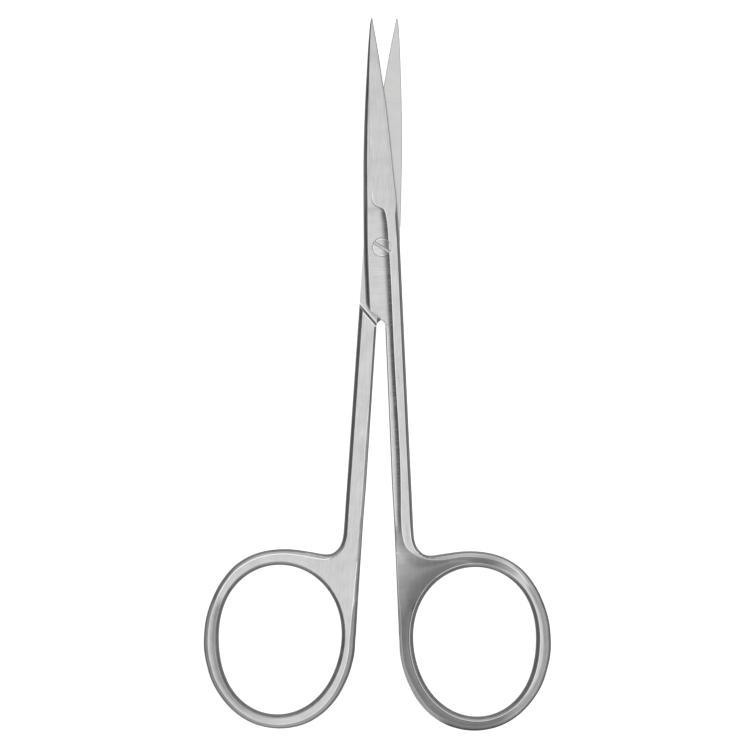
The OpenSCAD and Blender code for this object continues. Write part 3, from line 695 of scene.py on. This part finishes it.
def steel(name, seed, base=0.62, rough=0.3, line=1.0, cross=7.0, along=0.22):
    """Satin stainless steel: brushing lines of two sizes, faint cloudy polish, a few hairline scratches, painted
    highlights on broken edges and lines, machined faces painted darker partly as shade, painted shade on the hollow
    web.
    """
    mat = bpy.data.materials.new(name)
    mat.use_nodes = True
    t = mat.node_tree
    t.nodes.clear()
    L = t.links.new
    outp = t.nodes.new("ShaderNodeOutputMaterial")
    bs = t.nodes.new("ShaderNodeBsdfPrincipled")
    bs.inputs["Metallic"].default_value = 1.0
    bs.inputs["Anisotropic"].default_value = 0.35
    L(bs.outputs[0], outp.inputs[0])
    uv = t.nodes.new("ShaderNodeUVMap")
    uv.uv_map = "grain"
    tan = t.nodes.new("ShaderNodeTangent")
    tan.direction_type = "UV_MAP"
    tan.uv_map = "grain"
    L(tan.outputs[0], bs.inputs["Tangent"])

    def streaks(fx, fy, detail, off):
        m = t.nodes.new("ShaderNodeMapping")
        m.inputs["Location"].default_value = (seed * 3.7 + off, seed * 1.3 + off * 0.7, seed)
        m.inputs["Scale"].default_value = (fx, fy, 1)
        L(uv.outputs[0], m.inputs[0])
        n = t.nodes.new("ShaderNodeTexNoise")
        n.inputs["Scale"].default_value = 1.0
        n.inputs["Detail"].default_value = detail
        n.inputs["Roughness"].default_value = 0.6
        L(m.outputs[0], n.inputs["Vector"])
        return n.outputs["Fac"]

    fine = streaks(cross, along * 1.6, 3, 0)
    mid = streaks(cross * 0.42, along, 2, 11)
    cloud = streaks(0.5, 0.35, 3, 23)
    scratch = streaks(cross * 3.2, along * 0.5, 1, 41)

    def mix(a, b, fa, fb):
        m1 = t.nodes.new("ShaderNodeMath")
        m1.operation = "MULTIPLY"
        L(a, m1.inputs[0])
        m1.inputs[1].default_value = fa
        m2 = t.nodes.new("ShaderNodeMath")
        m2.operation = "MULTIPLY_ADD"
        L(b, m2.inputs[0])
        m2.inputs[1].default_value = fb
        L(m1.outputs[0], m2.inputs[2])
        return m2.outputs[0]

    both = mix(fine, mid, 0.55, 0.45)
    # colour: slight tone of the lines and of the cloudy polish
    tone = mix(both, cloud, 0.6, 0.4)
    ramp = t.nodes.new("ShaderNodeValToRGB")
    e = ramp.color_ramp.elements
    e[0].position, e[1].position = 0.36, 0.64
    e[0].color = (base * 0.83, base * 0.83, base * 0.827, 1)
    e[1].color = (base * 1.15, base * 1.15, base * 1.145, 1)
    L(tone, ramp.inputs[0])
    painted_light_and_grain = t.nodes.new("ShaderNodeVertexColor")
    painted_light_and_grain.layer_name = "painted_light_and_grain"
    marks = t.nodes.new("ShaderNodeSeparateColor")
    L(painted_light_and_grain.outputs["Color"], marks.inputs[0])
    # painted highlight: faces with mark 1 (factor 1) and mark 3 (factor 0.45) are mixed towards a bright 0.92 grey
    edge = t.nodes.new("ShaderNodeMix")
    edge.data_type = "RGBA"
    # the mix's colour sockets are the last pair of their name
    ca_in, cb_in = [k for k in edge.inputs if k.type == "RGBA"]
    cb_in.default_value = (0.92, 0.92, 0.915, 1)
    L(marks.outputs[0], edge.inputs["Factor"])
    L(ramp.outputs[0], ca_in)
    # painted shade: where the blue channel (the web's mask) is 1, the colour is scaled down to 37 %
    web_painted_shade = t.nodes.new("ShaderNodeMapRange")
    web_painted_shade.inputs["To Min"].default_value, web_painted_shade.inputs["To Max"].default_value = 1.0, 0.37
    L(marks.outputs[2], web_painted_shade.inputs["Value"])
    # single grinding lines, stronger where alpha of the marks is low
    lines = t.nodes.new("ShaderNodeMapRange")
    lines.inputs["From Min"].default_value, lines.inputs["From Max"].default_value = 0.34, 0.66
    lines.inputs["To Min"].default_value, lines.inputs["To Max"].default_value = -0.58, -0.04
    L(streaks(cross * 1.15, along * 2.0, 2, 57), lines.inputs["Value"])
    share = t.nodes.new("ShaderNodeMath")
    share.operation = "SUBTRACT"
    share.inputs[0].default_value = 1.0
    L(painted_light_and_grain.outputs["Alpha"], share.inputs[1])
    lined = t.nodes.new("ShaderNodeMath")
    lined.operation = "MULTIPLY_ADD"
    L(lines.outputs[0], lined.inputs[0])
    L(share.outputs[0], lined.inputs[1])
    lined.inputs[2].default_value = 1.0
    level = t.nodes.new("ShaderNodeMath")
    level.operation = "MULTIPLY"
    L(lined.outputs[0], level.inputs[0])
    L(web_painted_shade.outputs[0], level.inputs[1])
    lines_and_painted_shade = t.nodes.new("ShaderNodeVectorMath")
    lines_and_painted_shade.operation = "SCALE"
    L([k for k in edge.outputs if k.type == "RGBA"][0], lines_and_painted_shade.inputs[0])
    L(level.outputs[0], lines_and_painted_shade.inputs["Scale"])
    # machined faces (mark 2) are mixed to a darker 0.7 grey: partly their own finish, partly painted shade for the
    # joint's narrow gaps
    cut = t.nodes.new("ShaderNodeMix")
    cut.data_type = "RGBA"
    c1, c2 = [k for k in cut.inputs if k.type == "RGBA"]
    c2.default_value = (0.7, 0.7, 0.695, 1)
    L(marks.outputs[1], cut.inputs["Factor"])
    L(lines_and_painted_shade.outputs[0], c1)
    L([k for k in cut.outputs if k.type == "RGBA"][0], bs.inputs["Base Color"])
    # roughness
    mr = t.nodes.new("ShaderNodeMapRange")
    mr.inputs["From Min"].default_value, mr.inputs["From Max"].default_value = 0.3, 0.7
    mr.inputs["To Min"].default_value, mr.inputs["To Max"].default_value = rough - 0.05, rough + 0.07
    L(mix(both, cloud, 0.65, 0.35), mr.inputs["Value"])
    er = t.nodes.new("ShaderNodeMath")
    er.operation = "MULTIPLY_ADD"
    L(marks.outputs[0], er.inputs[0])
    er.inputs[1].default_value = -0.1
    L(mr.outputs[0], er.inputs[2])
    er2 = t.nodes.new("ShaderNodeMath")
    er2.operation = "MULTIPLY_ADD"
    L(marks.outputs[1], er2.inputs[0])
    er2.inputs[1].default_value = 0.1
    L(er.outputs[0], er2.inputs[2])
    L(er2.outputs[0], bs.inputs["Roughness"])
    # bump of the brushing lines and a few hairlines
    hair = t.nodes.new("ShaderNodeMapRange")
    hair.inputs["From Min"].default_value, hair.inputs["From Max"].default_value = 0.68, 0.8
    L(scratch, hair.inputs["Value"])
    height = mix(both, hair.outputs[0], 1.0, -0.35)
    bump = t.nodes.new("ShaderNodeBump")
    bump.inputs["Strength"].default_value = 0.9 * line
    bump.inputs["Distance"].default_value = 0.00002
    L(height, bump.inputs["Height"])
    L(bump.outputs[0], bs.inputs["Normal"])
    return mat


# ---------------------------------------------------------------- build
def finish_mesh(ob, kind, mat):
    me = ob.data
    bm = bmesh.new()
    bm.from_mesh(me)
    bmesh.ops.dissolve_degenerate(bm, dist=1e-5, edges=bm.edges)
    bm.to_mesh(me)
    bm.free()
    grain_map(ob, kind)
    mi = np.empty(len(me.polygons), np.int32)
    me.polygons.foreach_get("material_index", mi)
    tot = np.empty(len(me.polygons), np.int32)
    me.polygons.foreach_get("loop_total", tot)
    painted_light_and_grain = np.zeros((len(me.loops), 4), np.float32)
    # red: painted highlight, 1 for mark 1 and 0.45 for mark 3; green: mark 2, machined faces painted darker partly as
    # shade
    painted_light_and_grain[:, 0] = np.repeat(np.where(mi == 3, 0.45, mi == 1).astype(np.float32), tot)
    painted_light_and_grain[:, 1] = np.repeat((mi == 2).astype(np.float32), tot)
    if kind == "half":
        # painted shade: where the hollow web round the finger hole faces up, it is darkened, starting just outside the
        # hole's bevel and fading outwards
        co = np.empty(len(me.vertices) * 3, np.float32)
        me.vertices.foreach_get("co", co)
        co = co.reshape(-1, 3)
        nz = np.empty(len(me.vertices) * 3, np.float32)
        me.vertices.foreach_get("normal", nz)
        hole_ = np.hypot(co[:, 0] - RCX, co[:, 1] - RCY) - r_in(np.degrees(np.arctan2(co[:, 1] - RCY, co[:, 0] - RCX)))
        web_painted_shade_mask = ease((hole_ - 0.5) / 0.3) * np.clip(1.0 - 0.085 * np.maximum(hole_ - 1.5, 0), 0, 1) * ease((20 - co[:, 0]) / 5) * (1 - 0.22 * ease((-62 - co[:, 1]) / 6)) * ease((-50.5 - co[:, 1]) / 3) * (nz.reshape(-1, 3)[:, 2] > 0.5)
        li = np.empty(len(me.loops), np.int32)
        me.loops.foreach_get("vertex_index", li)
        painted_light_and_grain[:, 2] = web_painted_shade_mask[li]
        # grinding lines show across the hollow beside the ridge, and faintly on the blade's inner face
        nv = nz.reshape(-1, 3)[:, 2]
        x_, y_, z_ = co.T
        hollow = ease((0.985 - nv) / 0.06) * (nv > 0.4) * (z_ > 0.9) * (x_ < cv(y_, RIDGE) + 0.02) * (x_ > left_x(y_) + cv(y_, FL) + 0.25) * (y_ < 6.6) * ease((y_ + 46) / 10)
        inner_ = 0.16 * (nv < -0.9) * (np.abs(z_) < 0.2)
        painted_light_and_grain[:, 3] = 1 - np.maximum(hollow, inner_)[li]
    else:
        painted_light_and_grain[:, 3] = 1
    ca_ = me.color_attributes.new("painted_light_and_grain", "FLOAT_COLOR", "CORNER")
    ca_.data.foreach_set("color", painted_light_and_grain.ravel())
    me.polygons.foreach_set("material_index", np.zeros(len(me.polygons), np.int32))
    me.shade_smooth()
    me.set_sharp_from_angle(angle=math.radians(26))
    me.materials.clear()
    me.materials.append(mat)


front = make_half("front_half_fine", "front")
finish_mesh(front, "half", steel("steel_front", 1.0))
place(front, "front")

rear = make_half("rear_half_fine", "rear")
finish_mesh(rear, "half", steel("steel_rear", 5.0))
place(rear, "rear")

# screw: shank, head ground with the channel, slot cut with a square bottom; the head's broken rim carries mark 1, a
# painted highlight
rings = [turned(PIN_R - 0.06, -ZF), turned(PIN_R, -ZF + 0.06), turned(PIN_R, ZF - HEAD_T + 0.02), turned(HEAD_R, ZF - HEAD_T + 0.02)]
for r_, d_ in ((HEAD_R, 0.07), (HEAD_R - 0.04, 0.015), (HEAD_R - 0.14, 0.01), (1.2, 0.01), (0.9, 0.01), (0.6, 0.01), (0.3, 0.01), (0.05, 0.01)):
    rings.append(turned(r_, lambda x, d_=d_: ground_z(x) - d_))
shank = loft("pivot_screw_fine", rings, [2, 2, 2, 2, 1, 1, 0, 0, 0, 0, 0])
ca, sa = math.cos(math.radians(-35.0)), math.sin(math.radians(-35.0))
ring = []
for z_, w_ in ((ZF - SLOT_H, 0.15), (ZF - 0.14, 0.155), (ZF + 0.0, 0.29), (ZF + 0.6, 0.3)):
    ring.append([(x * ca - y * sa, x * sa + y * ca, z_) for x, y in [(-3, -w_), (3, -w_), (3, w_), (-3, w_)]])
screw = apply_bool(shank, [loft("cut_slot", ring, 2)])
finish_mesh(screw, "screw", steel("steel_screw", 9.0, base=0.64, rough=0.28, cross=6.0))
place(screw, "front")

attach(front, "front")
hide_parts("front_half")
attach(rear, "rear")
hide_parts("rear_half")
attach(screw, "rear")
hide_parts("pivot_screw")

# ---------------------------------------------------------------- stage
FLOOR_GLOW = 0.78
# brightness of the studio by height: dim low down, a broad bright ceiling that leans to the right
CEILING = [(0.0, 0.0), (0.3, 0.02), (0.55, 0.09), (0.72, 0.24), (0.82, 0.45), (0.9, 0.76), (0.96, 1.04), (1.0, 1.17)]
LEAN_X = 0.05
WALL_LEFT, WALL_RIGHT, WALL_NEAR, WALL_FAR = 0.17, 0.44, 0.62, 0.9
floor_me = bpy.data.meshes.new("floor")
S = 3.0
floor_me.from_pydata([(-S, -S, -0.0002), (S, -S, -0.0002), (S, S, -0.0002), (-S, S, -0.0002)], [], [(0, 1, 2, 3)])
floor = bpy.data.objects.new("floor", floor_me)
bpy.context.scene.collection.objects.link(floor)
fm = bpy.data.materials.new("floor")
fm.use_nodes = True
fb = fm.node_tree.nodes["Principled BSDF"]
fb.inputs["Base Color"].default_value = (0.8, 0.8, 0.8, 1)
fb.inputs["Roughness"].default_value = 0.9
fb.inputs["Specular IOR Level"].default_value = 0.0
fb.inputs["Emission Color"].default_value = (1, 1, 1, 1)
fb.inputs["Emission Strength"].default_value = FLOOR_GLOW
floor_me.materials.append(fm)
floor.visible_glossy = False

# Soft studio: a broad bright ceiling, dim walls, the wall on the left the dimmest
world = bpy.data.worlds.new("studio")
bpy.context.scene.world = world
world.use_nodes = True
wt = world.node_tree
wt.nodes.clear()
wo = wt.nodes.new("ShaderNodeOutputWorld")
bg = wt.nodes.new("ShaderNodeBackground")
tc = wt.nodes.new("ShaderNodeTexCoord")
sep = wt.nodes.new("ShaderNodeSeparateXYZ")
wt.links.new(tc.outputs["Generated"], sep.inputs[0])


def wramp(src, stops):
    r = wt.nodes.new("ShaderNodeValToRGB")
    e = r.color_ramp.elements
    while len(e) > 1:
        e.remove(e[-1])
    e[0].position, e[0].color = stops[0][0], (stops[0][1],) * 3 + (1,)
    for p_, v_ in stops[1:]:
        k = e.new(p_)
        k.color = (v_, v_, v_, 1)
    wt.links.new(src, r.inputs[0])
    return r.outputs[0]


def wmath(op, *args):
    m_ = wt.nodes.new("ShaderNodeMath")
    m_.operation = op
    for i_, v_ in enumerate(args):
        if isinstance(v_, (int, float)):
            m_.inputs[i_].default_value = v_
        else:
            wt.links.new(v_, m_.inputs[i_])
    return m_.outputs[0]


wx, wy, wz = sep.outputs["X"], sep.outputs["Y"], sep.outputs["Z"]
up = wramp(wmath("MULTIPLY_ADD", wx, LEAN_X, wz), CEILING)
flat2 = wmath("MAXIMUM", wmath("ADD", wmath("MULTIPLY", wx, wx), wmath("MULTIPLY", wy, wy)), 0.0001)
share_y = wmath("DIVIDE", wmath("MULTIPLY", wy, wy), flat2)
share_x = wmath("SUBTRACT", 1.0, share_y)
side = wramp(wmath("MULTIPLY_ADD", wx, 0.5, 0.5), [(0.0, WALL_LEFT), (0.5, 0.5 * (WALL_LEFT + WALL_RIGHT)), (1.0, WALL_RIGHT)])
ends = wramp(wmath("MULTIPLY_ADD", wy, 0.5, 0.5), [(0.0, WALL_NEAR), (0.5, 0.5 * (WALL_NEAR + WALL_FAR)), (1.0, WALL_FAR)])
wall = wmath("ADD", wmath("MULTIPLY", share_y, ends), wmath("MULTIPLY", side, share_x))
fade = wramp(wmath("MULTIPLY_ADD", wz, 0.5, 0.5), [(0.0, 0.0), (0.34, 0.12), (0.44, 0.35), (0.56, 0.95), (0.66, 1.0), (0.8, 0.75), (0.925, 0.0)])
table = wramp(wmath("MULTIPLY", wz, -1.0), [(0.0, 0.0), (0.25, 0.0), (0.38, 0.05), (0.52, 0.2), (0.7, 0.27), (0.85, 0.33), (1.0, 0.4)])
wt.links.new(wmath("ADD", wmath("MULTIPLY_ADD", wall, fade, up), table), bg.inputs["Color"])
bg.inputs["Strength"].default_value = 1.0
wt.links.new(bg.outputs[0], wo.inputs[0])

# one large, weak lamp high on the right gives the floor a soft shadow
ld = bpy.data.lights.new("softbox", "AREA")
ld.shape = "RECTANGLE"
ld.size, ld.size_y = 0.9, 0.9
ld.energy = 3.0
lo = bpy.data.objects.new("softbox", ld)
lo.visible_glossy = False
lo.location = (0.35, 0.45, 1.1)
lo.rotation_euler = (Vector((0, 0, 0)) - lo.location).to_track_quat("-Z", "Y").to_euler()
bpy.context.scene.collection.objects.link(lo)

bpy.context.scene.view_settings.view_transform = "Standard"

# ---------------------------------------------------------------- camera
cd = bpy.data.cameras.new("camera")
cam = bpy.data.objects.new("camera", cd)
bpy.context.scene.collection.objects.link(cam)
DIST = 0.7
cd.sensor_width = 36.0
cd.lens = 36.0 * DIST / 0.125
cd.clip_start = 0.01
cd.clip_end = 20
cam.location = (-0.000895, -0.00019, 0.0024 + DIST)
cam.rotation_euler = (0, 0, math.radians(0.64))
bpy.context.scene.camera = cam
